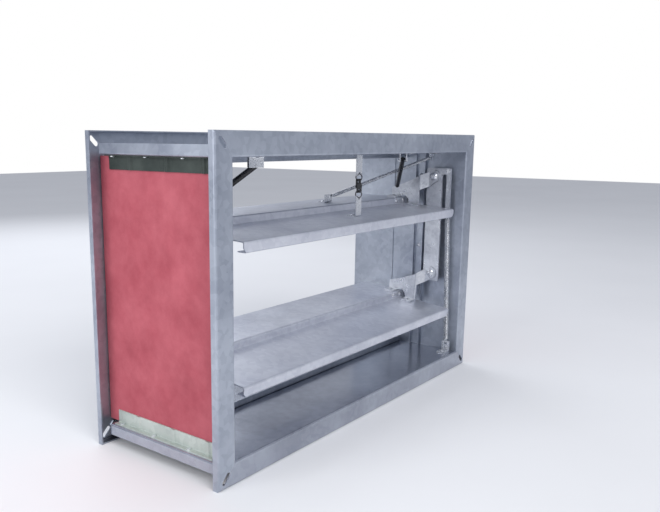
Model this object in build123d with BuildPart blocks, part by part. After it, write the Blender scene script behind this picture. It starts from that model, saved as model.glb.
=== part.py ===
from build123d import *
from math import atan2, cos, hypot, radians, sin
import os

os.makedirs("parts", exist_ok=True)

# Driving dimensions in millimetres. X runs across the duct, Y along the airflow
# with the front flange at -Y, and Z up from the lower edge of the flanges.

# Casing
duct_width = 500.0
duct_height = 300.0
casing_depth = 190.0
flange_height = 25.0
flange_lip = 8.0
casing_sheet = 1.5
casing_bend = 2.5
lip_notch = 3.0
mitre_margin = 5.0
web_end_gap = 1.0
web_overhang = 18.0
web_upturn_height = 12.0
web_upturn_length = 160.0
slot_edge_distance = 11.0
slot_length = 14.0
slot_width = 5.5
weld_start = 5.0
weld_length = 6.0
weld_radius = 1.2

# Fire boards in the side recesses
board_thickness = 6.0
board_edge_gap = 1.5
pocket_radius = 8.5
pocket_depth = 5.0
screw_pocket = 1.4
strip_sheet = 1.2
strip_bend = 2.0
strip_cover = 15.5
strip_foot = 6.0
strip_end_gap = 4.0
bead_proud = 1.4
bead_width = 7.0
bead_places = (-65.0, -14.0, 42.0)
strip_rivet_out = 3.2
strip_rivet_rows = (-40.0, 14.0, 66.0)

# Blades
axle_forward = 7.0
upper_axle_height = 252.5
lower_axle_height = 107.0
upper_rest_angle = 0.0
lower_rest_angle = 3.5
closing_angle = 77.5
blade_front = 78.0
blade_rear = 71.0
blade_step = 9.4
blade_droop = 4.9
nose_height = 12.0
nose_return = 12.0
nose_chamfer = 5.0
blade_hem = 6.0
blade_sheet = 1.2
blade_bend = 2.4
blade_left_gap = 25.0
blade_right_gap = 14.0

# Stub axles and bushes
axle_diameter = 10.0
axle_tang_low = -4.0
axle_tang_high = 2.2
axle_tang_length = 45.0
axle_shoulder_gap = 1.0
axle_end_past_web = 4.0
axle_rivet_steps = (12.0, 32.0)
axle_rivet_up = -0.2
bush_outer = 14.0
bush_flange = 16.0
bush_flange_thickness = 1.5
bush_length = 5.0
spacer_outer = 13.0
spacer_end_gap = 0.1
running_clearance = 0.05
seat_clearance = 0.05

# Blade arms and link bar
pin_forward = 44.0
pin_rise = 37.0
arm_sheet = 2.5
arm_plate_inset = 9.0
arm_plate_front = 26.0
arm_plate_rear = 20.0
arm_plate_rear_rise = 19.0
arm_plate_rise = 35.0
arm_arch_front = 10.0
arm_arch_height = 3.5
arm_foot_length = 15.0
arm_rivet_along = (-18.0, 12.0)
arm_bend = 5.0
arm_low = -14.0
arm_high = 54.0
lug_radius = 9.0
lug_from_wall = 12.2
lug_flat = 8.5
neck_length = 9.0
link_width = 25.0
link_sheet = 3.0
link_end = 12.0
link_gap = 0.2
link_nose = 13.0
link_nose_height = 9.0
link_corner = 2.5
pin_diameter = 6.0
pin_head = 11.0
pin_head_height = 3.3
pin_rim = 0.8
pin_washer = 12.0
pin_washer_thickness = 1.0
pin_nut = 10.0
pin_nut_height = 4.0
pin_end = 1.0

# Closing spring on the link bar
hanger_width = 7.0
hanger_sheet = 2.0
hanger_drop = 64.0
hanger_hole = 4.0
hanger_edge = 4.0
hanger_corner = 1.5
hanger_from_nose_end = 4.0
spring_outer = 8.0
spring_wire = 1.2
spring_loop = 3.0
anchor_width = 12.0
anchor_height = 16.0
anchor_sheet = 2.0
anchor_foot = 16.0
anchor_bend = 3.0
anchor_from_front = 15.0

# Assist spring from the upper blade to the right wall
assist_outer = 5.0
assist_wire = 1.0
assist_loop = 2.4
assist_clip_x = 66.0
assist_clip_along = 27.0
assist_clip_width = 16.0
assist_clip_height = 11.0
assist_clip_foot = 11.0
assist_clip_sheet = 1.5
assist_edge = 3.6
assist_bend = 2.5
assist_eye_from_front = 53.0
assist_eye_below_web = 8.0
assist_eye_from_wall = 9.0
assist_eye_sheet = 1.5
assist_eye_width = 12.0
assist_eye_foot = 12.0
assist_hole = 4.4

assist_rivet_step = 4.2
closing_hook_clearance = 0.3
assist_hook_clearance = 1.0

# Fusible link line
link_line_x = 33.0
link_line_from_front = 45.0
strap_width = 12.0
strap_sheet = 1.5
strap_foot = 12.0
strap_hole = 3.2
strap_edge = 3.4
strap_bend = 2.5
strap_rivet_step = 3.0
top_strap_drop = 28.0
blade_strap_height = 27.0
ring_radius = 4.5
ring_wire = 1.5
fuse_width = 11.0
fuse_sheet = 1.0
fuse_overlap = 6.5
fuse_corner = 1.5
ring_seat = 0.15
solder_gap = 0.3

# Stops
stop_sheet = 1.2
top_stop_drop = 9.0
bottom_stop_rise = 8.0
stop_foot = 14.0
stop_bend = 2.0
stop_end_gap = 1.0
stop_clearance = 0.5
bottom_stop_gap = 1.5
stop_rivet_columns = (-205.0, -100.0, 5.0, 110.0, 225.0)
rod_diameter = 6.5
rod_length = 65.0
rod_above_pin = 4.0
rod_top_x = 157.4
rod_top_from_front = 53.5
rod_top_below_web = 11.0
rod_spread = 39.2
rod_back = 29.2
rod_fall = 35.9
clip_width = 30.0
clip_length = 16.0
clip_sheet = 1.5
clip_ear_drop = 13.0
clip_ear_gap = 7.5
clip_pin = 3.0
clip_pin_end = 1.5
clip_bend = 2.5
clip_rivet_step = 10.3

# Side jambs
jamb_width = 16.0
jamb_from_axle = 8.5
jamb_sheet = 1.2
jamb_bend = 2.0
jamb_end_gap = 0.5
jamb_screw_rows = (60.0, 183.0, 290.0)
right_jamb_depth = 6.0
left_jamb_depth = 20.0
seam_width = 8.0
seam_thickness = 1.2
seam_behind_axle = 33.0

# Rivets
rivet_diameter = 3.2
rivet_head = 6.4
rivet_head_height = 1.4
rivet_tail = 4.8
rivet_tail_height = 1.0
rivet_clearance = 0.05

# Sizes that follow from the driving dimensions
outer_width = duct_width + 2 * flange_height
outer_height = duct_height + 2 * flange_height
half_duct = duct_width / 2
half_outer = outer_width / 2
half_depth = casing_depth / 2
floor_z = flange_height
ceiling_z = flange_height + duct_height
axle_y = -axle_forward
blade_left = -half_duct + blade_left_gap
blade_right = half_duct - blade_right_gap
nose_top = -blade_step / 2 - blade_droop
nose_bottom = nose_top - nose_height
panel_slope = blade_droop / blade_front
axle_height = {"upper": upper_axle_height, "lower": lower_axle_height}
rest_angle = {"upper": radians(upper_rest_angle), "lower": radians(lower_rest_angle)}
arm_plate_x = blade_right - arm_plate_inset - arm_sheet
lug_x = half_duct - lug_from_wall - arm_sheet
link_x = lug_x + arm_sheet + link_gap
link_outer_x = link_x + link_sheet
pin_y = axle_y - pin_forward
pin_length = arm_sheet + 2 * link_gap + link_sheet + pin_washer_thickness + pin_nut_height + pin_end
hanger_y = pin_y - link_width / 2 - link_nose + hanger_from_nose_end
upper_pin_z = upper_axle_height + pin_rise
lower_pin_z = lower_axle_height + pin_rise
link_top_z = upper_pin_z + link_end
hanger_rivet_z = link_top_z - link_nose_height / 2
hanger_hole_z = hanger_rivet_z - hanger_drop
anchor_hole_z = floor_z + anchor_height - hanger_hole
line_y = -half_depth + link_line_from_front
upper_closed = radians(upper_rest_angle + closing_angle)
stop_height = ceiling_z - top_stop_drop - upper_axle_height
top_stop_contact = (stop_height - blade_step / 2 * cos(upper_closed)) / sin(upper_closed)


def save(builder, name):
    builder.part.label = name
    export_step(builder.part, f"parts/{name}.step")


def sheet(plane, points, thickness, bend):
    """Profile of bent sheet: the points run along one face, and the sheet lies to their left."""
    count = len(points)
    normals = []
    for (x0, y0), (x1, y1) in zip(points, points[1:]):
        run = hypot(x1 - x0, y1 - y0)
        normals.append(((y0 - y1) / run, (x1 - x0) / run))
    inner = []
    radii = []
    for index, (x, y) in enumerate(points):
        before = normals[max(index - 1, 0)]
        after = normals[min(index, count - 2)]
        scale = thickness / (1 + before[0] * after[0] + before[1] * after[1])
        inner.append((x + (before[0] + after[0]) * scale, y + (before[1] + after[1]) * scale))
        turn = before[0] * after[1] - before[1] * after[0]
        radii.append(0 if abs(turn) < 1e-6 else bend if turn > 0 else bend - thickness)
    inner_radii = [0 if r == 0 else bend - thickness if r == bend else bend for r in radii]
    with BuildSketch(plane) as profile:
        with BuildLine():
            FilletPolyline(*points, *reversed(inner), radius=radii + inner_radii[::-1], close=True)
        make_face()
    return profile.sketch


def shape(plane, points, radius=0.0):
    """A closed outline with its corners rounded."""
    with BuildSketch(plane) as outline:
        with BuildLine():
            FilletPolyline(*points, radius=radius, close=True)
        make_face()
    return outline.sketch


def disc(plane, radius):
    with BuildSketch(plane) as round_face:
        Circle(radius)
    return round_face.sketch


def ring(plane, outer, inner):
    with BuildSketch(plane) as ring_face:
        Circle(outer)
        Circle(inner, mode=Mode.SUBTRACT)
    return ring_face.sketch


def block(x0, x1, y0, y1, z0, z1, mode=Mode.ADD):
    """A straight-sided piece of the part being built, or a cut in it."""
    with BuildSketch(Plane.XY.offset(z0)) as base:
        with Locations(((x0 + x1) / 2, (y0 + y1) / 2)):
            Rectangle(x1 - x0, y1 - y0)
    extrude(base.sketch, amount=z1 - z0, mode=mode)


def facing(origin, normal, along=None):
    """A plane at a point that faces a direction, and whose x runs along another."""
    return Plane(origin=origin, x_dir=along, z_dir=normal)


def hole(plane, radius, depth):
    """Cut a round hole from the plane down into the piece."""
    extrude(disc(plane, radius), amount=-depth, mode=Mode.SUBTRACT)


def round_bar(start, end, radius, mode=Mode.ADD):
    run = Vector(*end) - Vector(*start)
    extrude(disc(Plane(origin=start, z_dir=run), radius), amount=run.length, mode=mode)


def dome(start, rise, radius):
    """An arc of a ball from the rim of a head to the top of its dome, on the y axis of a sketch."""
    ball = (rise ** 2 + radius ** 2) / (2 * rise)
    middle = (ball ** 2 - radius ** 2 / 4) ** 0.5 - (ball - rise)
    ThreePointArc((-radius, start), (-radius / 2, start - middle), (0, start - rise))


def rivet(plane, grip):
    """A domed rivet with its head above the plane and its set tail below the grip."""
    with BuildSketch(Plane(origin=plane.origin, x_dir=plane.x_dir, z_dir=plane.y_dir)) as half:
        with BuildLine():
            Polyline(
                (0, -rivet_head_height),
                (0, grip + rivet_tail_height),
                (-rivet_tail / 2, grip + rivet_tail_height),
                (-rivet_tail / 2, grip),
                (-rivet_diameter / 2, grip),
                (-rivet_diameter / 2, 0),
                (-rivet_head / 2, 0),
            )
            dome(0, rivet_head_height, rivet_head / 2)
        make_face()
    revolve(half.sketch, axis=Axis(plane.origin, plane.z_dir))


def rivet_hole(plane, depth):
    hole(plane, rivet_diameter / 2 + rivet_clearance, depth)


def blade_plane(which, x):
    """A plane across a blade: its x is the chord, its y is up and its normal is +X."""
    angle = rest_angle[which]
    origin = (x, axle_y, axle_height[which])
    return Plane(origin=origin, x_dir=(0, cos(angle), sin(angle)), z_dir=(1, 0, 0))


def blade_point(which, along, up, x=0.0):
    """Place in the casing of a point along and above a blade's axle line."""
    angle = rest_angle[which]
    y = axle_y + along * cos(angle) - up * sin(angle)
    z = axle_height[which] + along * sin(angle) + up * cos(angle)
    return x, y, z


def panel_top(along):
    """Height of a blade's upper face above its axle line."""
    return blade_step / 2 if along > 0 else -blade_step / 2 + along * panel_slope


def on_panel(which, x, along, lift=0.0):
    """A plane that lies on a blade's upper face and looks up from it."""
    tilt = rest_angle[which] + (0.0 if along > 0 else atan2(blade_droop, blade_front))
    origin = blade_point(which, along, panel_top(along) + lift, x)
    return Plane(origin=origin, x_dir=(1, 0, 0), z_dir=(0, -sin(tilt), cos(tilt)))


def closed_face(which, along, up):
    """Y and Z of a point of a blade when it is closed."""
    angle = rest_angle[which] + radians(closing_angle)
    y = axle_y + along * cos(angle) - up * sin(angle)
    z = axle_height[which] + along * sin(angle) + up * cos(angle)
    return y, z


# Places that several pieces share
bush_radius = axle_diameter / 2 + running_clearance
bush_seat = bush_outer / 2 + seat_clearance
web_outer = half_duct + casing_sheet
board_outer = web_outer + board_thickness
axle_end = web_outer + axle_end_past_web
strip_rivet_x = board_outer + strip_sheet + strip_rivet_out
strip_rivet_planes = [
    (side * strip_rivet_x, y) for side in (-1, 1) for y in strip_rivet_rows
]
top_stop_face, _ = closed_face("upper", top_stop_contact, blade_step / 2)
top_stop_rear = top_stop_face - stop_clearance
bottom_stop_face, _ = closed_face("lower", -blade_front, nose_bottom)
bottom_stop_front = bottom_stop_face + bottom_stop_gap
top_stop_rivet_y = top_stop_rear - stop_foot / 2
bottom_stop_rivet_y = bottom_stop_front + stop_foot / 2
jamb_y = axle_y - jamb_from_axle - jamb_width / 2
seam_y = axle_y + seam_behind_axle
rod_run = hypot(rod_spread, rod_back, rod_fall)
rod_way = (rod_spread / rod_run, rod_back / rod_run, -rod_fall / rod_run)
rod_top = (rod_top_x, -half_depth + rod_top_from_front, ceiling_z - rod_top_below_web)
clip_way = (rod_spread / hypot(rod_spread, rod_back), rod_back / hypot(rod_spread, rod_back))
clip_rivet_places = []
for side in (-1, 1):
    for step in (-clip_rivet_step, clip_rivet_step):
        across = (-clip_way[1] * step, clip_way[0] * step)
        clip_rivet_places.append((side * (rod_top[0] + across[0]), rod_top[1] + across[1]))
clip_steps = (-assist_rivet_step, assist_rivet_step)
strap_steps = (-strap_rivet_step, strap_rivet_step)
strap_rivet_places = [(link_line_x + step, line_y + strap_foot / 2) for step in strap_steps]
eye_x = half_duct - assist_eye_from_wall
eye_y = -half_depth + assist_eye_from_front
eye_z = ceiling_z - assist_eye_below_web
eye_left = eye_x - assist_edge
eye_rivet_x = eye_left + assist_eye_width / 2
eye_rivet_places = [(eye_rivet_x, eye_y - assist_eye_foot / 2)]
ceiling_rivet_places = (
    [(x, top_stop_rivet_y, stop_sheet) for x in stop_rivet_columns]
    + [(x, y, clip_sheet) for x, y in clip_rivet_places]
    + [(x, y, strap_sheet) for x, y in strap_rivet_places]
    + [(x, y, assist_eye_sheet) for x, y in eye_rivet_places]
)
anchor_y = -half_depth + anchor_from_front
anchor_x = link_outer_x
anchor_rivet_places = [(anchor_x - anchor_foot / 2, anchor_y + step) for step in (-3.6, 3.6)]
floor_rivet_places = (
    [(x, bottom_stop_rivet_y, stop_sheet) for x in stop_rivet_columns]
    + [(x, y, anchor_sheet) for x, y in anchor_rivet_places]
)


# Top wall, and the bottom wall as its mirror image
def cross_wall(rivet_places):
    """A lipped channel across the duct, mitred at the flanges, with ends turned up in the recesses."""
    channel = [
        (-half_depth + flange_lip, outer_height),
        (-half_depth, outer_height),
        (-half_depth, ceiling_z),
        (half_depth, ceiling_z),
        (half_depth, outer_height),
        (half_depth - flange_lip, outer_height),
    ]
    extrude(
        sheet(Plane.YZ.offset(-half_outer), channel, casing_sheet, casing_bend),
        amount=outer_width,
    )
    for side in (-1, 1):
        mitre = [
            (side * half_duct, ceiling_z),
            (side * (half_duct + outer_height), ceiling_z + outer_height),
            (side * (half_duct + outer_height), ceiling_z - mitre_margin),
            (side * half_duct, ceiling_z - mitre_margin),
        ]
        extrude(shape(Plane.XZ, mitre), amount=outer_width, both=True, mode=Mode.SUBTRACT)
    for side in (-1, 1):
        turned = [
            (half_duct - casing_sheet, ceiling_z),
            (half_duct + web_overhang, ceiling_z),
            (half_duct + web_overhang, ceiling_z + web_upturn_height),
        ]
        plane = facing((0, 0, 0), (0, -side, 0), (side, 0, 0))
        profile = sheet(plane, turned, casing_sheet, casing_bend)
        extrude(profile, amount=web_upturn_length / 2, both=True)
    for x, y in strip_rivet_planes:
        rivet_hole(Plane.XY.move(Location((x, y, ceiling_z + 2 * casing_sheet))), 4 * casing_sheet)
    for x, y, _ in rivet_places:
        rivet_hole(Plane.XY.move(Location((x, y, ceiling_z + 2 * casing_sheet))), 4 * casing_sheet)


def corner_slots():
    """Cut the diagonal bolt slots at the corners of both flanges."""
    for side in (-1, 1):
        for z, rise in ((slot_edge_distance, 1), (outer_height - slot_edge_distance, -1)):
            x = side * (half_outer - slot_edge_distance)
            plane = facing((x, 0, z), (0, 1, 0), (-side, 0, rise))
            with BuildSketch(plane) as slot:
                SlotOverall(slot_length, slot_width)
            extrude(slot.sketch, amount=casing_depth, both=True, mode=Mode.SUBTRACT)


with BuildPart() as top_wall:
    cross_wall(ceiling_rivet_places)
    corner_slots()
save(top_wall, "top_wall")

with BuildPart() as bottom_wall:
    cross_wall(floor_rivet_places)
    corner_slots()
    mirror(about=Plane.XY.offset(outer_height / 2), mode=Mode.REPLACE)
save(bottom_wall, "bottom_wall")


# Side walls: channels between the flanges, with holes for the axle bushes
def side_wall(side):
    channel = [
        (half_outer, -half_depth + flange_lip),
        (half_outer, -half_depth),
        (half_duct, -half_depth),
        (half_duct, half_depth),
        (half_outer, half_depth),
        (half_outer, half_depth - flange_lip),
    ]
    profile = sheet(Plane.XY, channel[::-1], casing_sheet, casing_bend)
    extrude(profile, amount=outer_height)
    for base, way in ((floor_z, -1), (ceiling_z, 1)):
        mitre = [
            (half_duct, base),
            (half_duct + outer_height, base + way * outer_height),
            (half_duct - mitre_margin, base + way * outer_height),
            (half_duct - mitre_margin, base),
        ]
        extrude(shape(Plane.XZ, mitre), amount=outer_width, both=True, mode=Mode.SUBTRACT)
        notch_z = sorted((base, base + way * (web_upturn_height + casing_sheet)))
        reach = web_upturn_length / 2 + web_end_gap
        block(half_duct - mitre_margin, half_duct + lip_notch, -reach, reach, *notch_z,
              mode=Mode.SUBTRACT)
    for z in axle_height.values():
        hole(facing((board_outer, axle_y, z), (1, 0, 0)), bush_seat, board_outer)
    for z in jamb_screw_rows:
        rivet_hole(facing((board_outer, jamb_y, z), (1, 0, 0)), board_outer)
    corner_slots()
    if side < 0:
        mirror(about=Plane.YZ, mode=Mode.REPLACE)


with BuildPart() as left_wall:
    side_wall(-1)
save(left_wall, "left_wall")

with BuildPart() as right_wall:
    side_wall(1)
save(right_wall, "right_wall")

# Weld beads along the mitres on the back of the flanges
with BuildPart() as corner_welds:
    back = half_depth - casing_sheet
    for x_side in (-1, 1):
        for corner_z, rise in ((floor_z, -1), (ceiling_z, 1)):
            start = weld_start / 2 ** 0.5
            finish = (weld_start + weld_length) / 2 ** 0.5
            for y_side in (-1, 1):
                points = [
                    (x_side * (half_duct + reach), y_side * back, corner_z + rise * reach)
                    for reach in (start, finish)
                ]
                round_bar(points[0], points[1], weld_radius)
    block(-half_outer, half_outer, back, half_depth, 0, outer_height, mode=Mode.SUBTRACT)
    block(-half_outer, half_outer, -half_depth, -back, 0, outer_height, mode=Mode.SUBTRACT)
save(corner_welds, "corner_welds")


# Fire boards that fill the side recesses, with blind pockets over the axle ends
def fire_board(side):
    inset = half_depth - casing_sheet - board_edge_gap
    block(web_outer, board_outer, -inset, inset, floor_z + board_edge_gap, ceiling_z - board_edge_gap)
    for z in axle_height.values():
        hole(facing((web_outer + pocket_depth, axle_y, z), (1, 0, 0)), pocket_radius, pocket_depth)
    for z in jamb_screw_rows:
        hole(facing((web_outer + screw_pocket, jamb_y, z), (1, 0, 0)), rivet_head / 2, screw_pocket)
    if side < 0:
        mirror(about=Plane.YZ, mode=Mode.REPLACE)


with BuildPart() as left_fire_board:
    fire_board(-1)
save(left_fire_board, "left_fire_board")

with BuildPart() as right_fire_board:
    fire_board(1)
save(right_fire_board, "right_fire_board")


def board_strips():
    """Angle strips that clamp the upper edge of both fire boards under the web ends."""
    half_length = web_upturn_length / 2 - strip_end_gap
    angle = [
        (board_outer + strip_sheet + strip_foot, ceiling_z),
        (board_outer, ceiling_z),
        (board_outer, ceiling_z - strip_cover),
    ]
    extrude(sheet(Plane.XZ, angle, strip_sheet, strip_bend), amount=half_length, both=True)
    for y in bead_places:
        rib = [
            (board_outer + strip_sheet, y - bead_width / 2),
            (board_outer + strip_sheet + bead_proud, y - bead_width / 4),
            (board_outer + strip_sheet + bead_proud, y + bead_width / 4),
            (board_outer + strip_sheet, y + bead_width / 2),
        ]
        base = Plane.XY.offset(ceiling_z - strip_cover)
        extrude(shape(base, rib), amount=strip_cover - strip_sheet)
    for x, y in strip_rivet_planes:
        if x > 0:
            rivet_hole(Plane.XY.move(Location((x, y, ceiling_z + casing_sheet))), 4 * casing_sheet)
    mirror(about=Plane.YZ)


with BuildPart() as top_board_strips:
    board_strips()
save(top_board_strips, "top_board_strips")

with BuildPart() as bottom_board_strips:
    board_strips()
    mirror(about=Plane.XY.offset(outer_height / 2), mode=Mode.REPLACE)
save(bottom_board_strips, "bottom_board_strips")

with BuildPart() as board_strip_rivets:
    for x, y in strip_rivet_planes:
        rivet(Plane.XY.move(Location((x, y, ceiling_z + casing_sheet))), casing_sheet + strip_sheet)
    mirror(about=Plane.XY.offset(outer_height / 2))
save(board_strip_rivets, "board_strip_rivets")


# Side jambs: upright channels that close the gap beside the blade ends
def jamb(side, depth):
    face = side * half_duct
    inner = side * (half_duct - depth)
    near = jamb_y - jamb_width / 2
    far = jamb_y + jamb_width / 2
    path = [(inner, near), (face, near), (face, far), (inner, far)]
    if side < 0:
        path = path[::-1]
    rise = duct_height - 2 * jamb_end_gap
    extrude(sheet(Plane.XY.offset(floor_z + jamb_end_gap), path, jamb_sheet, jamb_bend), amount=rise)
    for z in jamb_screw_rows:
        rivet_hole(facing((face, jamb_y, z), (side, 0, 0)), 2 * jamb_sheet)


with BuildPart() as left_jamb:
    jamb(-1, left_jamb_depth)
save(left_jamb, "left_jamb")

with BuildPart() as right_jamb:
    jamb(1, right_jamb_depth)
save(right_jamb, "right_jamb")

with BuildPart() as jamb_rivets:
    for side in (-1, 1):
        for z in jamb_screw_rows:
            plane = facing((side * (half_duct - jamb_sheet), jamb_y, z), (-side, 0, 0))
            rivet(plane, jamb_sheet + casing_sheet)
save(jamb_rivets, "jamb_rivets")


def seam_strip(side):
    """A flat cover strip over the upright seam of a side wall."""
    face = half_duct - seam_thickness
    low = floor_z + jamb_end_gap
    high = ceiling_z - jamb_end_gap
    outline = [
        (half_duct, seam_y - seam_width / 2),
        (half_duct, seam_y + seam_width / 2),
        (face, seam_y + seam_width / 2 - seam_thickness / 2),
        (face, seam_y - seam_width / 2 + seam_thickness / 2),
    ]
    extrude(shape(Plane.XY.offset(low), outline), amount=high - low)
    if side < 0:
        mirror(about=Plane.YZ, mode=Mode.REPLACE)


with BuildPart() as left_seam_strip:
    seam_strip(-1)
save(left_seam_strip, "left_seam_strip")

with BuildPart() as right_seam_strip:
    seam_strip(1)
save(right_seam_strip, "right_seam_strip")

# Blade stops: angles that the closed blades rest against
with BuildPart() as top_stop:
    angle = [
        (top_stop_rear, ceiling_z - top_stop_drop),
        (top_stop_rear, ceiling_z),
        (top_stop_rear - stop_foot, ceiling_z),
    ]
    plane = Plane.YZ.offset(-half_duct + stop_end_gap)
    extrude(sheet(plane, angle, stop_sheet, stop_bend), amount=duct_width - 2 * stop_end_gap)
    for x, y, _ in ceiling_rivet_places[: len(stop_rivet_columns)]:
        rivet_hole(Plane.XY.move(Location((x, y, ceiling_z))), 2 * stop_sheet)
save(top_stop, "top_stop")

with BuildPart() as bottom_stop:
    angle = [
        (bottom_stop_front, floor_z + bottom_stop_rise),
        (bottom_stop_front, floor_z),
        (bottom_stop_front + stop_foot, floor_z),
    ]
    plane = Plane.YZ.offset(-half_duct + stop_end_gap)
    extrude(sheet(plane, angle, stop_sheet, stop_bend), amount=duct_width - 2 * stop_end_gap)
    for x, y, _ in floor_rivet_places[: len(stop_rivet_columns)]:
        rivet_hole(Plane.XY.move(Location((x, y, floor_z + 2 * stop_sheet))), 3 * stop_sheet)
save(bottom_stop, "bottom_stop")


# Stop rods and the folded clips that hold them
def rod_point(along):
    return tuple(rod_top[axis] + rod_way[axis] * along for axis in range(3))


def stop_rod():
    round_bar(rod_point(-rod_above_pin), rod_point(rod_length), rod_diameter / 2)
    across = (-clip_way[1], clip_way[0], 0)
    pin_plane = facing(tuple(rod_top[a] + across[a] * clip_ear_gap for a in range(3)), across)
    hole(pin_plane, clip_pin / 2 + running_clearance, 2 * clip_ear_gap)


def rod_clip():
    """A folded clip: a foot on the ceiling and two ears beside the rod."""
    along = (clip_way[0], clip_way[1], 0)
    across = (-clip_way[1], clip_way[0])
    plane = Plane(
        origin=(rod_top[0], rod_top[1], ceiling_z),
        x_dir=(across[0], across[1], 0),
        z_dir=along,
    )
    half_gap = clip_ear_gap / 2
    for way in (-1, 1):
        ear = [
            (way * half_gap, -clip_ear_drop),
            (way * half_gap, 0),
            (way * clip_width / 2, 0),
        ]
        section = sheet(plane, ear[::-way], clip_sheet, clip_bend)
        extrude(section, amount=clip_length / 2, both=True)
    bridge = [
        (-half_gap - clip_bend, 0),
        (half_gap + clip_bend, 0),
        (half_gap + clip_bend, -clip_sheet),
        (-half_gap - clip_bend, -clip_sheet),
    ]
    extrude(shape(plane, bridge), amount=clip_length / 2, both=True)
    pin_plane = facing(
        (rod_top[0] + across[0] * clip_width, rod_top[1] + across[1] * clip_width, rod_top[2]),
        (across[0], across[1], 0),
    )
    hole(pin_plane, clip_pin / 2 + rivet_clearance, 2 * clip_width)
    for x, y in clip_rivet_places:
        if x > 0:
            rivet_hole(Plane.XY.move(Location((x, y, ceiling_z))), 3 * clip_sheet)


def clip_pins():
    across = Vector(-clip_way[1], clip_way[0], 0)
    reach = clip_ear_gap / 2 + clip_sheet + clip_pin_end
    centre = Vector(*rod_top)
    round_bar(tuple(centre - across * reach), tuple(centre + across * reach), clip_pin / 2)
    head = centre + across * (clip_ear_gap / 2 + clip_sheet)
    round_bar(tuple(head), tuple(head + across * clip_pin_end), clip_pin * 0.8)


with BuildPart() as right_stop_rod:
    stop_rod()
save(right_stop_rod, "right_stop_rod")

with BuildPart() as left_stop_rod:
    stop_rod()
    mirror(about=Plane.YZ, mode=Mode.REPLACE)
save(left_stop_rod, "left_stop_rod")

with BuildPart() as right_rod_clip:
    rod_clip()
save(right_rod_clip, "right_rod_clip")

with BuildPart() as left_rod_clip:
    rod_clip()
    mirror(about=Plane.YZ, mode=Mode.REPLACE)
save(left_rod_clip, "left_rod_clip")

with BuildPart() as rod_clip_pins:
    clip_pins()
    mirror(about=Plane.YZ)
save(rod_clip_pins, "rod_clip_pins")

# Rivets through the ceiling and the floor, with their heads in the airway
with BuildPart() as ceiling_rivets:
    for x, y, grip in ceiling_rivet_places:
        plane = facing((x, y, ceiling_z - grip), (0, 0, -1), (1, 0, 0))
        rivet(plane, grip + casing_sheet)
save(ceiling_rivets, "ceiling_rivets")

with BuildPart() as floor_rivets:
    for x, y, grip in floor_rivet_places:
        rivet(Plane.XY.move(Location((x, y, floor_z + grip))), grip + casing_sheet)
save(floor_rivets, "floor_rivets")


# Bushes for the stub axles
def bushes(which):
    for side in (-1, 1):
        start = facing((side * half_duct, axle_y, axle_height[which]), (-side, 0, 0))
        extrude(ring(start, bush_flange / 2, bush_radius), amount=bush_flange_thickness)
        extrude(ring(start, bush_outer / 2, bush_radius), amount=-bush_length)


with BuildPart() as upper_bushes:
    bushes("upper")
save(upper_bushes, "upper_bushes")

with BuildPart() as lower_bushes:
    bushes("lower")
save(lower_bushes, "lower_bushes")


# Blades: one folded sheet each, with a step at the axle line and a box nose at the front
def blade(which):
    path = [
        (blade_rear, blade_step / 2),
        (0, blade_step / 2),
        (0, -blade_step / 2),
        (-blade_front, nose_top),
        (-blade_front, nose_bottom),
        (-blade_front + nose_return, nose_bottom),
    ]
    plane = blade_plane(which, blade_left)
    width = blade_right - blade_left
    extrude(sheet(plane, path, blade_sheet, blade_bend), amount=width)
    top = blade_step / 2 - blade_sheet
    hem = [
        (blade_rear - blade_hem, top),
        (blade_rear, top),
        (blade_rear, top - blade_sheet),
        (blade_rear - blade_hem, top - blade_sheet),
    ]
    extrude(shape(plane, hem), amount=width)
    nose_low = nose_bottom - blade_sheet
    for x, way in ((blade_left, 1), (blade_right, -1)):
        front = blade_plane(which, 0)
        sight = Plane(
            origin=front.from_local_coords((-blade_front, 0, 0)),
            x_dir=(1, 0, 0),
            z_dir=-front.x_dir,
        )
        corner = [
            (x - way * blade_sheet, nose_low),
            (x + way * nose_chamfer, nose_low),
            (x - way * blade_sheet, nose_bottom + nose_chamfer * 1.4),
        ]
        extrude(shape(sight, corner), amount=nose_return * 1.5, both=True, mode=Mode.SUBTRACT)
    for spot in blade_rivet_planes(which):
        rivet_hole(spot[0], spot[1])


def riser_plane(which, x):
    """A plane on the front of the riser that looks forward."""
    turn = rest_angle[which]
    origin = blade_point(which, 0, axle_rivet_up, x)
    return Plane(origin=origin, x_dir=(1, 0, 0), z_dir=(0, -cos(turn), -sin(turn)))


def axle_rivets(which):
    planes = []
    for step in axle_rivet_steps:
        planes.append(riser_plane(which, blade_left + step))
        planes.append(riser_plane(which, blade_right - step))
    return planes


def arm_rivets(which):
    x = arm_plate_x - arm_foot_length / 2
    return [on_panel(which, x, along) for along in arm_rivet_along]


def clip_rivets():
    y_along = assist_clip_along + assist_clip_foot / 2
    return [on_panel("upper", assist_clip_x + step, y_along) for step in clip_steps]


def blade_strap_rivets():
    along = line_y - axle_y + strap_foot / 2
    return [on_panel("upper", link_line_x + step, along) for step in strap_steps]


def blade_rivet_planes(which):
    """Planes on the blade's own surface, and how deep each hole runs."""
    planes = [(plane, 3 * blade_sheet) for plane in axle_rivets(which) + arm_rivets(which)]
    if which == "upper":
        planes += [(plane, 3 * blade_sheet) for plane in clip_rivets() + blade_strap_rivets()]
    return planes


with BuildPart() as upper_blade:
    blade("upper")
save(upper_blade, "upper_blade")

with BuildPart() as lower_blade:
    blade("lower")
save(lower_blade, "lower_blade")


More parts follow.
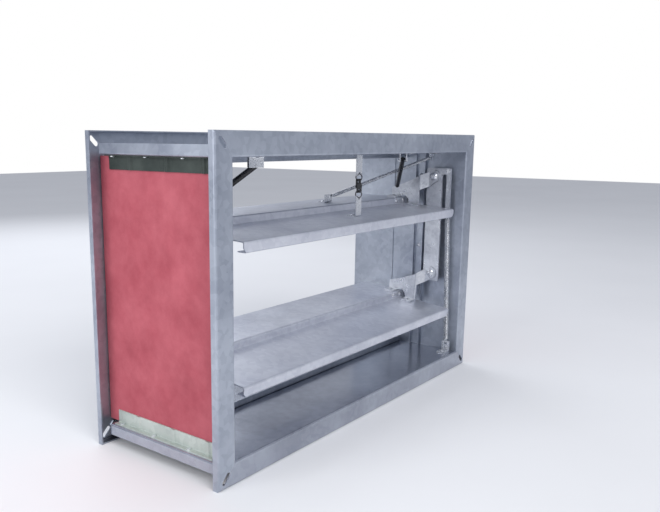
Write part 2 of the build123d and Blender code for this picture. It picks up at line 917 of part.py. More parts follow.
# Stub axles: round in the bushes, milled to a half round tang behind the riser
def stub_axle(which, side):
    blade_end = blade_right if side > 0 else blade_left
    tang_end = blade_end - side * axle_tang_length
    centre = blade_point(which, 0, 0)
    round_bar((side * axle_end, centre[1], centre[2]), (tang_end, centre[1], centre[2]),
              axle_diameter / 2)
    start = min(tang_end, blade_end + side * axle_shoulder_gap)
    run = axle_tang_length + axle_shoulder_gap
    plane = blade_plane(which, start)
    away = axle_diameter
    front_cut = [
        (-away, -away),
        (blade_sheet, -away),
        (blade_sheet, away),
        (-away, away),
    ]
    extrude(shape(plane, front_cut), amount=run, mode=Mode.SUBTRACT)
    for low, high in ((-away, axle_tang_low), (axle_tang_high, away)):
        edge_cut = [(-away, low), (away, low), (away, high), (-away, high)]
        extrude(shape(plane, edge_cut), amount=run, mode=Mode.SUBTRACT)
    for spot in axle_rivets(which):
        rivet_hole(spot, axle_diameter)


def spacers(which):
    centre = blade_point(which, 0, 0)
    for side, blade_end in ((-1, blade_left), (1, blade_right)):
        bush_face = side * (half_duct - bush_flange_thickness - spacer_end_gap)
        start = blade_end + side * spacer_end_gap
        plane = facing((start, centre[1], centre[2]), (side, 0, 0))
        inner = axle_diameter / 2 + running_clearance
        extrude(ring(plane, spacer_outer / 2, inner), amount=abs(bush_face - start))


with BuildPart() as upper_left_axle:
    stub_axle("upper", -1)
save(upper_left_axle, "upper_left_axle")

with BuildPart() as upper_right_axle:
    stub_axle("upper", 1)
save(upper_right_axle, "upper_right_axle")

with BuildPart() as lower_left_axle:
    stub_axle("lower", -1)
save(lower_left_axle, "lower_left_axle")

with BuildPart() as lower_right_axle:
    stub_axle("lower", 1)
save(lower_right_axle, "lower_right_axle")

with BuildPart() as upper_spacers:
    spacers("upper")
save(upper_spacers, "upper_spacers")

with BuildPart() as lower_spacers:
    spacers("lower")
save(lower_spacers, "lower_spacers")


# Blade arms: riveted feet, an arch over the riser and a joggled neck out to the pin
def pin_local(which):
    """Pin centre along and above a blade, so that both pins stand alike over their axles."""
    angle = rest_angle[which]
    along = -pin_forward * cos(angle) + pin_rise * sin(angle)
    up = pin_forward * sin(angle) + pin_rise * cos(angle)
    return along, up


def blade_arm(which):
    along, up = pin_local(which)
    plane = blade_plane(which, arm_plate_x - arm_foot_length)
    span = lug_x + arm_sheet - (arm_plate_x - arm_foot_length)
    front = -arm_plate_front
    foot_front = -arm_arch_front
    outline = [
        (front, panel_top(front)),
        (foot_front, panel_top(foot_front)),
        (foot_front + 1.0, 2.0),
        (-3.0, blade_step / 2 + arm_arch_height),
        (2.0, blade_step / 2 + arm_arch_height),
        (3.5, blade_step / 2),
        (arm_plate_rear, blade_step / 2),
        (arm_plate_rear, arm_plate_rear_rise),
        (1.0, arm_plate_rear_rise + 6.0),
        (-22.0, arm_plate_rise),
        (along + 4.0, up + lug_radius * 0.9),
        (along - lug_radius * 0.8, up - lug_radius * 0.6),
        (along + 6.0, up - lug_radius * 1.65),
        (front, up - 21.0),
    ]
    extrude(shape(plane, outline), amount=span)
    lug = facing(plane.from_local_coords((along, up, 0)), (1, 0, 0))
    extrude(disc(lug, lug_radius), amount=span)
    above = Plane(
        origin=blade_point(which, 0, arm_low, 0),
        x_dir=(1, 0, 0),
        z_dir=plane.y_dir,
    )
    strip = [
        (lug_x + arm_sheet, along - 2 * lug_radius),
        (lug_x + arm_sheet, along + lug_flat),
        (arm_plate_x + arm_sheet, along + lug_flat + neck_length),
        (arm_plate_x + arm_sheet, arm_plate_rear + 1.0),
    ]
    extrude(sheet(above, strip, arm_sheet, arm_bend), amount=arm_high - arm_low, mode=Mode.INTERSECT)
    low_front = foot_front - 0.5
    front_foot = [
        (front, panel_top(front)),
        (low_front, panel_top(low_front)),
        (low_front, panel_top(low_front) + arm_sheet),
        (front, panel_top(front) + arm_sheet),
    ]
    rear_foot = [
        (3.5, blade_step / 2),
        (arm_plate_rear, blade_step / 2),
        (arm_plate_rear, blade_step / 2 + arm_sheet),
        (3.5, blade_step / 2 + arm_sheet),
    ]
    for foot in (front_foot, rear_foot):
        extrude(shape(plane, foot), amount=arm_foot_length + arm_sheet / 2)
    hole(facing(plane.from_local_coords((along, up, span)), (1, 0, 0)),
         pin_diameter / 2 + rivet_clearance, 2 * span)
    for spot in arm_rivets(which):
        rivet_hole(spot.offset(2 * arm_sheet), 4 * arm_sheet)


with BuildPart() as upper_arm:
    blade_arm("upper")
save(upper_arm, "upper_arm")

with BuildPart() as lower_arm:
    blade_arm("lower")
save(lower_arm, "lower_arm")


# Pivot bolts: domed head inside, then the arm, the link bar, a washer and a nut
def pin_point(which, x):
    return x, axle_y - pin_forward, axle_height[which] + pin_rise


def pivot_pin(which):
    start = pin_point(which, lug_x)
    with BuildSketch(Plane(origin=start, x_dir=(0, 1, 0), z_dir=(0, 0, -1))) as half:
        with BuildLine():
            Polyline(
                (0, -pin_head_height),
                (0, pin_length),
                (-pin_diameter / 2 + pin_end, pin_length),
                (-pin_diameter / 2, pin_length - pin_end),
                (-pin_diameter / 2, 0),
                (-pin_head / 2, 0),
                (-pin_head / 2, -pin_rim),
            )
            dome(-pin_rim, pin_head_height - pin_rim, pin_head / 2)
        make_face()
    revolve(half.sketch, axis=Axis(start, (1, 0, 0)))


def pin_washers(which):
    plane = Plane(origin=pin_point(which, link_outer_x + link_gap), z_dir=(1, 0, 0))
    extrude(ring(plane, pin_washer / 2, pin_diameter / 2 + running_clearance),
            amount=pin_washer_thickness)


def pin_nuts(which):
    start = link_outer_x + link_gap + pin_washer_thickness
    plane = Plane(origin=pin_point(which, start), z_dir=(1, 0, 0))
    with BuildSketch(plane) as hexagon:
        RegularPolygon(pin_nut / 2, 6, major_radius=False)
        Circle(pin_diameter / 2 + rivet_clearance, mode=Mode.SUBTRACT)
    extrude(hexagon.sketch, amount=pin_nut_height)


with BuildPart() as upper_pivot_bolt:
    pivot_pin("upper")
save(upper_pivot_bolt, "upper_pivot_bolt")

with BuildPart() as lower_pivot_bolt:
    pivot_pin("lower")
save(lower_pivot_bolt, "lower_pivot_bolt")

with BuildPart() as upper_pivot_washer:
    pin_washers("upper")
save(upper_pivot_washer, "upper_pivot_washer")

with BuildPart() as lower_pivot_washer:
    pin_washers("lower")
save(lower_pivot_washer, "lower_pivot_washer")

with BuildPart() as upper_pivot_nut:
    pin_nuts("upper")
save(upper_pivot_nut, "upper_pivot_nut")

with BuildPart() as lower_pivot_nut:
    pin_nuts("lower")
save(lower_pivot_nut, "lower_pivot_nut")

# Link bar: a flat bar between both pins, with a nose at its top for the spring hanger
with BuildPart() as link_bar:
    plane = Plane(origin=(link_x, 0, 0), x_dir=(0, 1, 0), z_dir=(1, 0, 0))
    half = link_width / 2
    bar = [
        (pin_y - half, lower_pin_z - link_end),
        (pin_y + half, lower_pin_z - link_end),
        (pin_y + half, link_top_z),
        (pin_y - half - link_nose, link_top_z),
        (pin_y - half - link_nose, link_top_z - link_nose_height),
        (pin_y - half, link_top_z - link_nose_height),
    ]
    extrude(shape(plane, bar, link_corner), amount=link_sheet)
    for z in (upper_pin_z, lower_pin_z):
        spot = Plane(origin=(link_outer_x, pin_y, z), z_dir=(1, 0, 0))
        hole(spot, pin_diameter / 2 + running_clearance, 2 * link_sheet)
    rivet_hole(facing((link_outer_x, hanger_y, hanger_rivet_z), (1, 0, 0)), 2 * link_sheet)
save(link_bar, "link_bar")

# Spring hanger: a flat strip that hangs from the nose of the link bar
with BuildPart() as spring_hanger:
    plane = Plane(origin=(link_outer_x, 0, 0), x_dir=(0, 1, 0), z_dir=(1, 0, 0))
    half = hanger_width / 2
    strip = [
        (hanger_y - half, hanger_hole_z - hanger_edge),
        (hanger_y + half, hanger_hole_z - hanger_edge),
        (hanger_y + half, link_top_z),
        (hanger_y - half, link_top_z),
    ]
    extrude(shape(plane, strip, hanger_corner), amount=hanger_sheet)
    spot = facing((link_outer_x + hanger_sheet, hanger_y, hanger_hole_z), (1, 0, 0))
    hole(spot, hanger_hole / 2, 2 * hanger_sheet)
    rivet_hole(facing((link_outer_x + hanger_sheet, hanger_y, hanger_rivet_z), (1, 0, 0)),
               2 * hanger_sheet)
save(spring_hanger, "spring_hanger")

with BuildPart() as hanger_rivet:
    rivet(facing((link_outer_x + hanger_sheet, hanger_y, hanger_rivet_z), (1, 0, 0)),
          hanger_sheet + link_sheet)
save(hanger_rivet, "hanger_rivet")

# Spring anchor: a bent plate on the floor with a hole for the lower hook
with BuildPart() as spring_anchor:
    angle = [
        (anchor_x - anchor_foot, floor_z),
        (anchor_x + anchor_sheet, floor_z),
        (anchor_x + anchor_sheet, floor_z + anchor_height),
    ]
    plane = Plane(origin=(0, anchor_y, 0), x_dir=(1, 0, 0), z_dir=(0, -1, 0))
    extrude(sheet(plane, angle, anchor_sheet, anchor_bend), amount=anchor_width / 2, both=True)
    spot = facing((anchor_x + anchor_sheet, anchor_y, anchor_hole_z), (1, 0, 0))
    hole(spot, hanger_hole / 2, 2 * anchor_sheet)
    for x, y in anchor_rivet_places:
        rivet_hole(Plane.XY.move(Location((x, y, floor_z + 2 * anchor_sheet))), 3 * anchor_sheet)
save(spring_anchor, "spring_anchor")


# Fusible link line: straps, rings and two link halves soldered together
def wire_ring(centre, way, side_way, radius, wire):
    """A wire ring in the plane of two directions, drawn from its point against the first."""
    axis = Vector(*way).cross(Vector(*side_way))
    start = Vector(*centre) - Vector(*way) * radius
    section = disc(facing(tuple(start), side_way), wire / 2)
    revolve(section, axis=Axis(tuple(centre), tuple(axis)))


line_along = line_y - axle_y - strap_sheet / 2
seat = strap_hole / 2 - ring_wire / 2 - ring_seat
top_strap_z = ceiling_z - top_strap_drop + strap_edge
upper_ring_z = top_strap_z - seat - ring_radius
upper_fuse_z = upper_ring_z - ring_radius - seat
blade_strap_top = panel_top(line_along) + blade_strap_height
blade_strap_z = upper_axle_height + blade_strap_top - strap_edge
lower_ring_z = blade_strap_z + seat + ring_radius
lower_fuse_z = lower_ring_z + ring_radius + seat
fuse_middle_z = (upper_fuse_z + lower_fuse_z) / 2

with BuildPart() as link_ceiling_strap:
    plane = Plane(origin=(link_line_x, 0, 0), x_dir=(0, 1, 0), z_dir=(1, 0, 0))
    front = line_y - strap_sheet / 2
    angle = [
        (front + strap_foot + strap_sheet, ceiling_z),
        (front, ceiling_z),
        (front, ceiling_z - top_strap_drop),
    ]
    extrude(sheet(plane, angle, strap_sheet, strap_bend), amount=strap_width / 2, both=True)
    hole(facing((link_line_x, line_y + strap_sheet, top_strap_z), (0, 1, 0)), strap_hole / 2,
         3 * strap_sheet)
    for x, y in strap_rivet_places:
        rivet_hole(Plane.XY.move(Location((x, y, ceiling_z))), 2 * strap_sheet)
save(link_ceiling_strap, "link_ceiling_strap")

with BuildPart() as upper_link_ring:
    wire_ring((link_line_x, line_y, upper_ring_z), (0, 0, 1), (0, 1, 0), ring_radius, ring_wire)
save(upper_link_ring, "upper_link_ring")

with BuildPart() as lower_link_ring:
    wire_ring((link_line_x, line_y, lower_ring_z), (0, 0, 1), (0, 1, 0), ring_radius, ring_wire)
save(lower_link_ring, "lower_link_ring")


def fuse_half(hole_z, way):
    """One half of the fusible link, lapped over the other and soldered to it."""
    near = line_y - way * solder_gap / 2
    plane = facing((link_line_x, near, 0), (0, -way, 0), (1, 0, 0))
    ends = (hole_z - way * strap_edge, fuse_middle_z + way * fuse_overlap / 2)
    up = plane.y_dir.Z
    outline = [
        (-fuse_width / 2, ends[0] * up),
        (fuse_width / 2, ends[0] * up),
        (fuse_width / 2, ends[1] * up),
        (-fuse_width / 2, ends[1] * up),
    ]
    extrude(shape(plane, outline, fuse_corner), amount=fuse_sheet)
    hole(facing((link_line_x, half_depth, hole_z), (0, 1, 0)), strap_hole / 2, casing_depth)


with BuildPart() as fusible_link_upper_half:
    fuse_half(upper_fuse_z, -1)
save(fusible_link_upper_half, "fusible_link_upper_half")

with BuildPart() as fusible_link_lower_half:
    fuse_half(lower_fuse_z, 1)
save(fusible_link_lower_half, "fusible_link_lower_half")

with BuildPart() as link_solder:
    half = fuse_width / 2 - fuse_corner
    rise = fuse_overlap / 2 - fuse_corner / 2
    block(link_line_x - half, link_line_x + half, line_y - solder_gap / 2, line_y + solder_gap / 2,
          fuse_middle_z - rise, fuse_middle_z + rise)
save(link_solder, "link_solder")

with BuildPart() as link_blade_strap:
    plane = blade_plane("upper", link_line_x)
    angle = [
        (line_along, blade_strap_top),
        (line_along, panel_top(line_along)),
        (line_along + strap_foot + strap_sheet, panel_top(line_along + strap_foot + strap_sheet)),
    ]
    extrude(sheet(plane, angle, strap_sheet, strap_bend), amount=strap_width / 2, both=True)
    hole(facing((link_line_x, line_y + strap_sheet, blade_strap_z), (0, 1, 0)), strap_hole / 2,
         3 * strap_sheet)
    for spot in blade_strap_rivets():
        rivet_hole(spot.offset(2 * strap_sheet), 3 * strap_sheet)
save(link_blade_strap, "link_blade_strap")

# Assist spring clip on the upper blade, and the bracket for the spring's other end
clip_hole_x = assist_clip_x + assist_clip_width / 2 - assist_edge
clip_hole_up = blade_step / 2 + assist_clip_height - assist_edge
clip_hole_along = assist_clip_along + assist_clip_sheet / 2

with BuildPart() as assist_spring_clip:
    plane = blade_plane("upper", assist_clip_x)
    angle = [
        (assist_clip_along, blade_step / 2 + assist_clip_height),
        (assist_clip_along, blade_step / 2),
        (assist_clip_along + assist_clip_foot, blade_step / 2),
    ]
    section = sheet(plane, angle, assist_clip_sheet, assist_bend)
    extrude(section, amount=assist_clip_width / 2, both=True)
    centre = blade_point("upper", assist_clip_along + assist_clip_sheet, clip_hole_up, clip_hole_x)
    hole(facing(centre, (0, 1, 0)), assist_hole / 2, 2 * assist_clip_sheet)
    for spot in clip_rivets():
        rivet_hole(spot.offset(2 * assist_clip_sheet), 4 * assist_clip_sheet)
save(assist_spring_clip, "assist_spring_clip")

with BuildPart() as assist_spring_bracket:
    plane = Plane(origin=(eye_rivet_x, 0, 0), x_dir=(0, 1, 0), z_dir=(1, 0, 0))
    rear = eye_y + assist_eye_sheet / 2
    angle = [
        (rear, eye_z - assist_edge),
        (rear, ceiling_z),
        (rear - assist_eye_foot, ceiling_z),
    ]
    section = sheet(plane, angle, assist_eye_sheet, assist_bend)
    extrude(section, amount=assist_eye_width / 2, both=True)
    hole(facing((eye_x, rear, eye_z), (0, 1, 0)), assist_hole / 2, 2 * assist_eye_sheet)
    for x, y in eye_rivet_places:
        rivet_hole(Plane.XY.move(Location((x, y, ceiling_z))), 2 * assist_eye_sheet)
save(assist_spring_bracket, "assist_spring_bracket")


# Springs: a wound body between two wire loops that pass through their holes
def coil_spring(start, end, normal, outer, wire, loop, seat_radius):
    """A closed sleeve stands for the coils; each loop bears on the edge of its own hole."""
    first = Vector(*start)
    last = Vector(*end)
    way = (last - first).normalized()
    out = Vector(*normal)
    out = (out - way * out.dot(way)).normalized()
    body = seat_radius + 2 * loop - wire / 4
    round_bar(tuple(first + way * body), tuple(last - way * body), outer / 2)
    for at, pull in ((first, way), (last, -way)):
        centre = at + pull * (seat_radius + loop)
        wire_ring(tuple(centre), tuple(pull), tuple(out), loop, wire)


with BuildPart() as closing_spring:
    x = link_outer_x + hanger_sheet / 2
    ends = ((x, anchor_y, anchor_hole_z), (x, hanger_y, hanger_hole_z))
    seat_radius = (hanger_hole - spring_wire) / 2 - closing_hook_clearance
    coil_spring(*ends, (1, 0, 0), spring_outer, spring_wire, spring_loop, seat_radius)
save(closing_spring, "closing_spring")

with BuildPart() as assist_spring:
    ends = (blade_point("upper", clip_hole_along, clip_hole_up, clip_hole_x), (eye_x, eye_y, eye_z))
    seat_radius = (assist_hole - assist_wire) / 2 - assist_hook_clearance
    coil_spring(*ends, (0, 1, 0), assist_outer, assist_wire, assist_loop, seat_radius)
save(assist_spring, "assist_spring")


# Rivets that turn with each blade
def blade_rivets(which):
    axle_back = axle_diameter / 2
    for spot in axle_rivets(which):
        rivet(spot, axle_back)
    for spot in arm_rivets(which):
        rivet(spot.offset(arm_sheet), arm_sheet + blade_sheet)
    if which == "upper":
        for spot in clip_rivets():
            rivet(spot.offset(assist_clip_sheet), assist_clip_sheet + blade_sheet)
        for spot in blade_strap_rivets():
            rivet(spot.offset(strap_sheet), strap_sheet + blade_sheet)


with BuildPart() as upper_blade_rivets:
    blade_rivets("upper")
save(upper_blade_rivets, "upper_blade_rivets")

with BuildPart() as lower_blade_rivets:
    blade_rivets("lower")
save(lower_blade_rivets, "lower_blade_rivets")
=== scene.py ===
import bpy
import math
from mathutils import Matrix, Vector


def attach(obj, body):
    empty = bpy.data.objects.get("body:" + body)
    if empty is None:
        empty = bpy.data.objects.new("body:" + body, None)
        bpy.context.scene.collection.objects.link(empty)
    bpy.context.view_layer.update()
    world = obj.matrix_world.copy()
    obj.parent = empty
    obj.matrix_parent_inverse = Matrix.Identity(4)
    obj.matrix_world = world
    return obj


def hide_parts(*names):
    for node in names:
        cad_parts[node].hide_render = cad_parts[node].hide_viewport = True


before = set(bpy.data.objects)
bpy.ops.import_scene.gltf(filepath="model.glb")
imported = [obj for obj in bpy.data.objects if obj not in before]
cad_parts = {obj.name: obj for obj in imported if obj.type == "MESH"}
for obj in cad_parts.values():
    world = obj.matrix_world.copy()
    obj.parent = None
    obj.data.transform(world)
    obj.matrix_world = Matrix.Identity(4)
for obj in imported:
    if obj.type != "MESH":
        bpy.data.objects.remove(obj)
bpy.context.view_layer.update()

# The photograph's camera: its place, and its right, down and forward directions
CAMERA_PLACE = (-0.7509, -0.5563, 0.3417)
CAMERA_RIGHT = (0.62198, -0.78300, 0.00630)
CAMERA_DOWN = (-0.14366, -0.12202, -0.98208)
CAMERA_FORWARD = (0.76974, 0.60993, -0.18838)
PHOTO_WIDTH = 660
PHOTO_HEIGHT = 512
FOCAL_PIXELS = 725.5
PRINCIPAL_X = 287.4
PRINCIPAL_Y = 278.7
SENSOR = 36.0

MM = 0.001


# Node material helpers
def new_material(name):
    material = bpy.data.materials.new(name)
    material.use_nodes = True
    tree = material.node_tree
    shader = tree.nodes["Principled BSDF"]
    return material, tree, shader


def noise(tree, scale, detail=4.0, rough=0.55, stretch=(1.0, 1.0, 1.0), offset=(0.0, 0.0, 0.0)):
    """Noise in object space, stretched along the axes."""
    place = tree.nodes.new("ShaderNodeTexCoord")
    mapping = tree.nodes.new("ShaderNodeMapping")
    mapping.inputs["Scale"].default_value = stretch
    mapping.inputs["Location"].default_value = offset
    tree.links.new(place.outputs["Object"], mapping.inputs["Vector"])
    node = tree.nodes.new("ShaderNodeTexNoise")
    node.inputs["Scale"].default_value = scale
    node.inputs["Detail"].default_value = detail
    node.inputs["Roughness"].default_value = rough
    tree.links.new(mapping.outputs["Vector"], node.inputs["Vector"])
    return node.outputs["Fac"]


def spangle(tree, scale, stretch=(1.0, 1.0, 1.0)):
    """Flat random values in crystal cells, as on hot dipped zinc."""
    place = tree.nodes.new("ShaderNodeTexCoord")
    mapping = tree.nodes.new("ShaderNodeMapping")
    mapping.inputs["Scale"].default_value = stretch
    tree.links.new(place.outputs["Object"], mapping.inputs["Vector"])
    cells = tree.nodes.new("ShaderNodeTexVoronoi")
    cells.inputs["Scale"].default_value = scale
    tree.links.new(mapping.outputs["Vector"], cells.inputs["Vector"])
    grey = tree.nodes.new("ShaderNodeRGBToBW")
    tree.links.new(cells.outputs["Color"], grey.inputs["Color"])
    return grey.outputs["Val"]


def ramp(tree, value, stops):
    node = tree.nodes.new("ShaderNodeValToRGB")
    elements = node.color_ramp.elements
    while len(elements) < len(stops):
        elements.new(0.5)
    for element, (at, colour) in zip(elements, stops):
        element.position = at
        element.color = (*colour, 1.0)
    tree.links.new(value, node.inputs["Fac"])
    return node.outputs["Color"]


def spread(tree, value, low, high):
    node = tree.nodes.new("ShaderNodeMapRange")
    node.inputs["From Min"].default_value = 0.3
    node.inputs["From Max"].default_value = 0.7
    node.inputs["To Min"].default_value = low
    node.inputs["To Max"].default_value = high
    tree.links.new(value, node.inputs["Value"])
    return node.outputs["Result"]


def mixed(tree, factor, first, second):
    node = tree.nodes.new("ShaderNodeMix")
    node.data_type = "RGBA"
    for socket, source in ((node.inputs[0], factor), (node.inputs[6], first), (node.inputs[7], second)):
        if isinstance(source, tuple):
            socket.default_value = (*source, 1.0)
        elif isinstance(source, float):
            socket.default_value = source
        else:
            tree.links.new(source, socket)
    return node.outputs[2]


def bump(tree, shader, height, strength, distance):
    node = tree.nodes.new("ShaderNodeBump")
    node.inputs["Strength"].default_value = strength
    node.inputs["Distance"].default_value = distance
    tree.links.new(height, node.inputs["Height"])
    tree.links.new(node.outputs["Normal"], shader.inputs["Normal"])


def zinc(name, dark, pale, rough=(0.32, 0.5), metal=0.85, cell=160.0, cloud=9.0, wear=0.25):
    """Galvanised sheet: crystal cells under a cloudy bloom."""
    material, tree, shader = new_material(name)
    cells = spangle(tree, cell)
    clouds = noise(tree, cloud, 5.0)
    base = ramp(tree, clouds, [(0.32, dark), (0.68, pale)])
    tint = ramp(tree, cells, [(0.25, dark), (0.75, pale)])
    colour = mixed(tree, wear, base, tint)
    tree.links.new(colour, shader.inputs["Base Color"])
    tree.links.new(spread(tree, noise(tree, cloud * 2.3, 3.0), *rough), shader.inputs["Roughness"])
    shader.inputs["Metallic"].default_value = metal
    bump(tree, shader, noise(tree, 14.0, 2.0), 0.25, 0.002)
    return material


def coat(name, dark, pale, rough=(0.3, 0.45), metal=0.0, cloud=30.0, bumps=0.15):
    """Paint, board or coated wire with a cloudy surface."""
    material, tree, shader = new_material(name)
    colour = ramp(tree, noise(tree, cloud, 6.0, 0.65), [(0.3, dark), (0.7, pale)])
    tree.links.new(colour, shader.inputs["Base Color"])
    tree.links.new(spread(tree, noise(tree, cloud * 1.7, 4.0), *rough), shader.inputs["Roughness"])
    shader.inputs["Metallic"].default_value = metal
    bump(tree, shader, noise(tree, cloud * 6.0, 4.0), bumps, 0.0006)
    return material


SHEET = zinc("galvanised_sheet", (0.30, 0.33, 0.40), (0.52, 0.56, 0.63))
SHEET_BRIGHT = zinc("bright_sheet", (0.50, 0.53, 0.59), (0.74, 0.77, 0.81), rough=(0.25, 0.42))
BLADE = zinc("blade_sheet", (0.52, 0.54, 0.62), (0.76, 0.78, 0.84), rough=(0.28, 0.45), metal=0.7)
FLOOR_SHEET = zinc("floor_sheet", (0.30, 0.32, 0.38), (0.50, 0.53, 0.60), rough=(0.14, 0.26))
BRIGHT = zinc("bright_zinc", (0.60, 0.62, 0.66), (0.85, 0.86, 0.88), rough=(0.18, 0.32), cell=600.0, cloud=60.0)
WIRE = zinc("spring_wire", (0.55, 0.57, 0.61), (0.80, 0.81, 0.83), rough=(0.2, 0.3), cell=900.0, cloud=90.0)
ARM = zinc("arm_sheet", (0.45, 0.47, 0.52), (0.72, 0.74, 0.78), rough=(0.25, 0.42), cell=300.0, cloud=30.0)
DARK_STEEL = zinc("dark_steel", (0.08, 0.08, 0.09), (0.20, 0.20, 0.22), rough=(0.3, 0.5), cell=500.0, cloud=60.0)
BOARD = coat("red_board", (0.36, 0.062, 0.085), (0.50, 0.115, 0.145), rough=(0.75, 0.95), cloud=26.0, bumps=0.3)
# Top board strips: the light strip's greenish colour darkened nearly to black, painted shade for strips facing
# down under the top wall
STRIP_PAINTED_SHADE = coat("painted_shade_strip", (0.020, 0.030, 0.026), (0.055, 0.070, 0.062), rough=(0.4, 0.6), metal=0.2)
STRIP_LIGHT = zinc("light_strip", (0.38, 0.44, 0.41), (0.62, 0.67, 0.63), rough=(0.4, 0.6), metal=0.6)
BLACK = coat("black_coat", (0.006, 0.006, 0.007), (0.020, 0.020, 0.023), rough=(0.16, 0.3), cloud=60.0)
BRONZE = zinc("bronze", (0.30, 0.20, 0.09), (0.50, 0.36, 0.18), rough=(0.35, 0.5), cell=500.0, cloud=60.0)
SOLDER = zinc("solder", (0.35, 0.36, 0.38), (0.55, 0.56, 0.58), rough=(0.3, 0.5), cell=500.0, cloud=60.0)

FINISHES = {
    SHEET: "top_wall left_wall right_wall left_seam_strip right_seam_strip top_stop bottom_stop "
           "left_jamb right_jamb corner_welds",
    FLOOR_SHEET: "bottom_wall",
    BOARD: "left_fire_board right_fire_board",
    # painted shade: the down-facing top board strips get the darkened copy of the strip colour
    STRIP_PAINTED_SHADE: "top_board_strips",
    STRIP_LIGHT: "bottom_board_strips",
    BRIGHT: "board_strip_rivets jamb_rivets ceiling_rivets floor_rivets right_rod_clip left_rod_clip "
            "rod_clip_pins spring_anchor link_ceiling_strap assist_spring_bracket upper_left_axle "
            "upper_right_axle upper_spacers upper_pivot_bolt upper_pivot_washer link_blade_strap "
            "assist_spring_clip upper_blade_rivets lower_left_axle lower_right_axle lower_spacers "
            "lower_pivot_bolt lower_pivot_washer lower_blade_rivets hanger_rivet",
    BLACK: "right_stop_rod left_stop_rod fusible_link_upper_half fusible_link_lower_half",
    BRONZE: "upper_bushes lower_bushes",
    DARK_STEEL: "upper_link_ring lower_link_ring upper_pivot_nut lower_pivot_nut",
    SOLDER: "link_solder",
    WIRE: "closing_spring assist_spring",
    BLADE: "upper_blade lower_blade",
    ARM: "upper_arm lower_arm link_bar spring_hanger",
}
for material, names in FINISHES.items():
    for name in names.split():
        for slot in bpy.data.objects[name].material_slots:
            slot.material = material


# Coil springs in place of the plain sleeves
def mesh_object(name, vertices, faces, material):
    mesh = bpy.data.meshes.new(name)
    mesh.from_pydata(vertices, [], faces)
    mesh.polygons.foreach_set("use_smooth", [True] * len(mesh.polygons))
    piece = bpy.data.objects.new(name, mesh)
    bpy.context.scene.collection.objects.link(piece)
    mesh.materials.append(material)
    return piece


def tube(points, radius, sides):
    """Vertices and faces of a wire along points, with closed ends."""
    vertices = []
    faces = []
    previous = None
    for index, point in enumerate(points):
        before = points[max(index - 1, 0)]
        after = points[min(index + 1, len(points) - 1)]
        tangent = (after - before).normalized()
        if previous is None:
            previous = tangent.orthogonal().normalized()
        across = (previous - tangent * previous.dot(tangent)).normalized()
        previous = across
        other = tangent.cross(across)
        for side in range(sides):
            angle = 2 * math.pi * side / sides
            vertices.append(point + (across * math.cos(angle) + other * math.sin(angle)) * radius)
    for ring in range(len(points) - 1):
        for side in range(sides):
            a = ring * sides + side
            b = ring * sides + (side + 1) % sides
            faces.append((a, b, b + sides, a + sides))
    faces.append(tuple(range(sides))[::-1])
    last = (len(points) - 1) * sides
    faces.append(tuple(range(last, last + sides)))
    return vertices, faces


def spring(name, node, start, end, side_way, outer, wire, loop, seat, pitch, steps):
    """A wound spring between two hook loops, in place of its CAD sleeve."""
    start = Vector(start)
    end = Vector(end)
    way = (end - start).normalized()
    out = Vector(side_way)
    out = (out - way * out.dot(way)).normalized()
    third = way.cross(out)
    coil = (outer - wire) / 2
    body = seat + 2 * loop - wire / 2
    first = start + way * body
    length = (end - start).length - 2 * body
    turns = round(length / pitch)
    points = []
    loop_steps = 20
    for step in range(loop_steps):
        angle = math.pi * 1.75 * step / loop_steps
        centre = start + way * (seat + loop)
        points.append(centre + way * (loop * math.cos(angle + math.pi * 0.25))
                      + out * (loop * math.sin(angle + math.pi * 0.25)))
    for step in range(turns * steps + 1):
        angle = 2 * math.pi * step / steps
        along = length * step / (turns * steps)
        points.append(first + way * along + out * (coil * math.cos(angle))
                      + third * (coil * math.sin(angle)))
    for step in range(1, loop_steps + 1):
        angle = math.pi * 1.75 * step / loop_steps
        centre = end - way * (seat + loop)
        points.append(centre - way * (loop * math.cos(angle)) + out * (loop * math.sin(angle)))
    vertices, faces = tube(points, wire / 2, 6)
    piece = mesh_object(name, vertices, faces, WIRE)
    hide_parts(node)
    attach(piece, "casing")
    return piece


CLOSING_X = 0.242
spring(
    "closing_spring_coils", "closing_spring",
    (CLOSING_X, -0.080, 0.037), (CLOSING_X, -0.0725, 0.233), (1, 0, 0),
    8.0 * MM, 1.2 * MM, 3.0 * MM, 1.1 * MM, 1.75 * MM, 14,
)
spring(
    "assist_spring_coils", "assist_spring",
    (0.0704, 0.02075, 0.2646), (0.241, -0.042, 0.317), (0, 1, 0),
    5.0 * MM, 1.0 * MM, 2.4 * MM, 0.7 * MM, 1.35 * MM, 12,
)


# Camera at the photograph's angle
def add_camera():
    data = bpy.data.cameras.new("photo_camera")
    data.sensor_width = SENSOR
    data.lens = SENSOR * FOCAL_PIXELS / PHOTO_WIDTH
    data.shift_x = (PHOTO_WIDTH / 2 - PRINCIPAL_X) / PHOTO_WIDTH
    data.shift_y = (PRINCIPAL_Y - PHOTO_HEIGHT / 2) / PHOTO_WIDTH
    data.clip_start = 0.01
    camera = bpy.data.objects.new("photo_camera", data)
    bpy.context.scene.collection.objects.link(camera)
    right = Vector(CAMERA_RIGHT)
    up = -Vector(CAMERA_DOWN)
    back = -Vector(CAMERA_FORWARD)
    turn = Matrix((right, up, back)).transposed().to_4x4()
    camera.matrix_world = Matrix.Translation(CAMERA_PLACE) @ turn
    bpy.context.scene.camera = camera


add_camera()


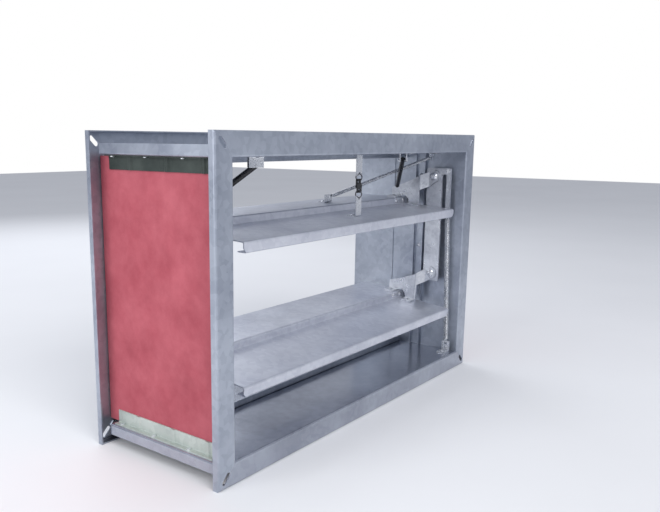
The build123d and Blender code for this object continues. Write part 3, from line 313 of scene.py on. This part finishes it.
# Floor, world and lights
def white_to_camera(tree, surface, output):
    """Show plain white to the camera and to clear (transmission) rays."""
    path = tree.nodes.new("ShaderNodeLightPath")
    first = tree.nodes.new("ShaderNodeMath")
    first.operation = "MAXIMUM"
    tree.links.new(path.outputs["Is Camera Ray"], first.inputs[0])
    tree.links.new(path.outputs["Is Transmission Ray"], first.inputs[1])
    white = tree.nodes.new("ShaderNodeEmission" if output == "Surface" else "ShaderNodeBackground")
    white.inputs["Strength"].default_value = 1.0
    white.inputs["Color"].default_value = (1.0, 1.0, 1.0, 1.0)
    mix = tree.nodes.new("ShaderNodeMixShader")
    tree.links.new(first.outputs[0], mix.inputs[0])
    tree.links.new(surface, mix.inputs[1])
    tree.links.new(white.outputs[0], mix.inputs[2])
    return mix.outputs[0]


def add_world():
    world = bpy.data.worlds.new("studio")
    bpy.context.scene.world = world
    world.use_nodes = True
    tree = world.node_tree
    background = tree.nodes["Background"]
    background.inputs["Color"].default_value = (0.86, 0.90, 1.0, 1.0)
    background.inputs["Strength"].default_value = 0.55
    out = white_to_camera(tree, background.outputs[0], "World")
    tree.links.new(out, tree.nodes["World Output"].inputs["Surface"])


def add_floor():
    size = 6.0
    floor = mesh_object(
        "studio_floor",
        [(-size, -size, 0), (size, -size, 0), (size, size, 0), (-size, size, 0)],
        [(0, 1, 2, 3)], None,
    )
    material, tree, shader = new_material("studio_floor")
    shader.inputs["Base Color"].default_value = (0.85, 0.85, 0.86, 1.0)
    shader.inputs["Roughness"].default_value = 0.9
    colour = ramp(tree, noise(tree, 2.0), [(0.3, (0.84, 0.84, 0.85)), (0.7, (0.87, 0.87, 0.88))])
    tree.links.new(colour, shader.inputs["Base Color"])
    output = tree.nodes["Material Output"]
    tree.links.new(shader.outputs[0], output.inputs["Surface"])
    floor.data.materials[0] = material


def add_area(name, place, target, size, power, colour=(1.0, 1.0, 1.0)):
    data = bpy.data.lights.new(name, "AREA")
    data.shape = "RECTANGLE"
    data.size, data.size_y = size
    data.energy = power
    data.color = colour
    lamp = bpy.data.objects.new(name, data)
    bpy.context.scene.collection.objects.link(lamp)
    lamp.location = place
    lamp.rotation_euler = (Vector(target) - Vector(place)).to_track_quat("-Z", "Y").to_euler()


add_world()
add_floor()
add_area("key", (-0.9, -1.6, 1.6), (0.0, 0.0, 0.15), (1.4, 1.0), 26.0)
add_area("side", (-1.9, 0.3, 0.9), (0.0, 0.0, 0.2), (1.2, 1.2), 16.0)
add_area("back", (0.7, 1.8, 1.3), (0.0, 0.0, 0.2), (1.6, 1.0), 14.0, (0.92, 0.95, 1.0))

bpy.context.scene.view_settings.view_transform = "Standard"
